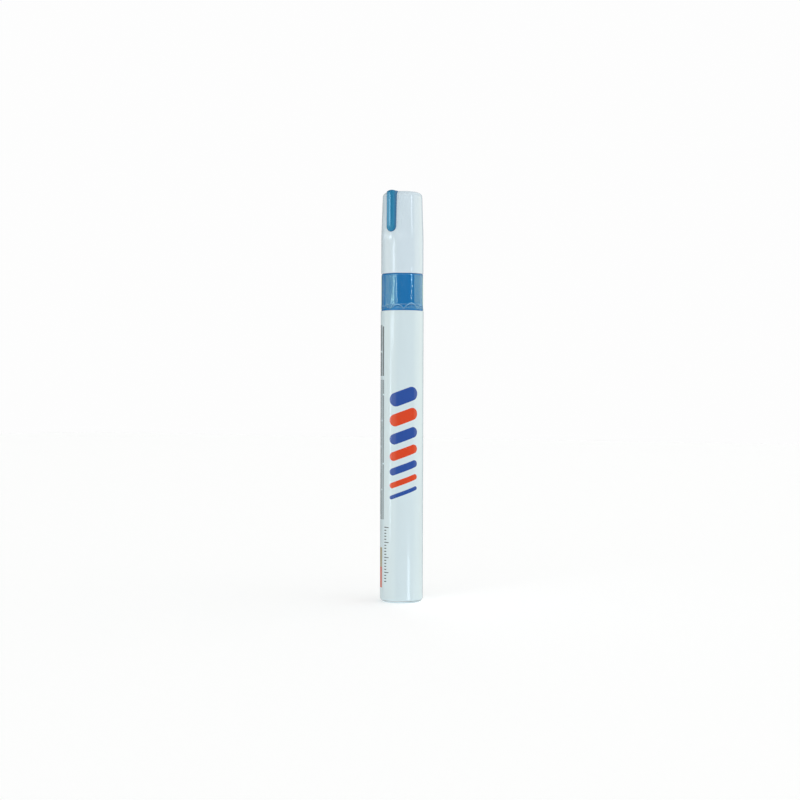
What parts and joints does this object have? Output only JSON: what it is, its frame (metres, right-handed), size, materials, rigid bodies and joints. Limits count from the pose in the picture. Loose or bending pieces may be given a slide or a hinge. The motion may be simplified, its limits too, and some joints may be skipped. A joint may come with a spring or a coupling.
{
  "type": "paint marker",
  "caption": "Slim round paint marker: lacquered metal barrel, coloured collar with a spring-loaded valve, felt nib that presses in, and a push-on cap with a colour tab.",
  "frame": {"origin": "centre of the barrel's flat base", "axes": "+Z along the marker's axis from the base to the cap, -Y towards the colour tab on the cap"},
  "size_m": [0.0146, 0.0151, 0.1373],
  "materials": {
    "white_lacquer": "gloss lacquer",
    "white_plastic": "gloss",
    "blue_plastic": "gloss",
    "natural_plastic": "satin",
    "seal_rubber": "matt",
    "spring_steel": "drawn wire",
    "ball_steel": "polished",
    "felt": "dense felt",
    "clear_film": "clear"
  },
  "bodies": {
    "barrel": {"barrel_tube": "white_lacquer", "collar": "blue_plastic", "seal_ring": "seal_rubber", "valve_seat": "seal_rubber", "valve_cage": "natural_plastic", "valve_spring": "spring_steel", "nib_holder": "natural_plastic", "seal_film": "clear_film"},
    "cap": {"cap_shell": "white_plastic", "inner_cap": "natural_plastic", "colour_tab": "blue_plastic"},
    "nib": {"nib": "felt", "valve_plunger": "natural_plastic"},
    "mixing_ball": {"mixing_ball": "ball_steel"}
  },
  "joints": [
    {"name": "cap_pull", "type": "slide", "parent": "barrel", "child": "cap", "axis": [0, 0, 1], "range_m": [0, 0.035]},
    {"name": "nib_press", "type": "slide", "parent": "barrel", "child": "nib", "axis": [0, 0, -1], "range_m": [0, 0.0025], "stiffness_N_per_m": 430, "springref_m": -0.0045, "deforming": ["valve_spring"]},
    {"name": "ball_rattle", "type": "slide", "parent": "barrel", "child": "mixing_ball", "axis": [0, 0, 1], "range_m": [0, 0.0676]}
  ]
}
